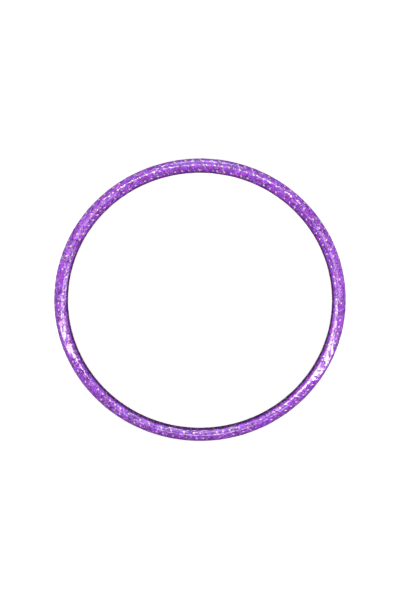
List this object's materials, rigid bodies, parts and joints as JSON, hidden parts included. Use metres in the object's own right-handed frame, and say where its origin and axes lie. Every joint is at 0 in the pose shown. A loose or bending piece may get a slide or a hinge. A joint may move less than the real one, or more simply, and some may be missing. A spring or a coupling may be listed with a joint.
{
  "type": "rhythmic hoop",
  "caption": "Round gymnastics hoop of bent plastic tube, closed by a riveted plug and wound with purple prismatic film.",
  "frame": {"origin": "the hoop's centre, on the surface that it lies on", "axes": "+Z along the hoop's axis, upwards from that surface; +Y from the centre to the joint in the tube; +X completes the frame"},
  "size_m": [0.5999, 0.6001, 0.0291],
  "materials": {
    "tube_plastic": "extruded, satin",
    "plug_plastic": "moulded, fine texture",
    "rivet_metal": "drawn, satin",
    "prismatic_film": "embossed prismatic foil under a clear gloss face",
    "band_film": "the same prismatic film, laid once round the joint"
  },
  "bodies": {
    "root": {"tube": "tube_plastic", "splice_plug": "plug_plastic", "splice_rivets": "rivet_metal", "film_wrap": "prismatic_film", "joint_band": "band_film"}
  },
  "joints": []
}
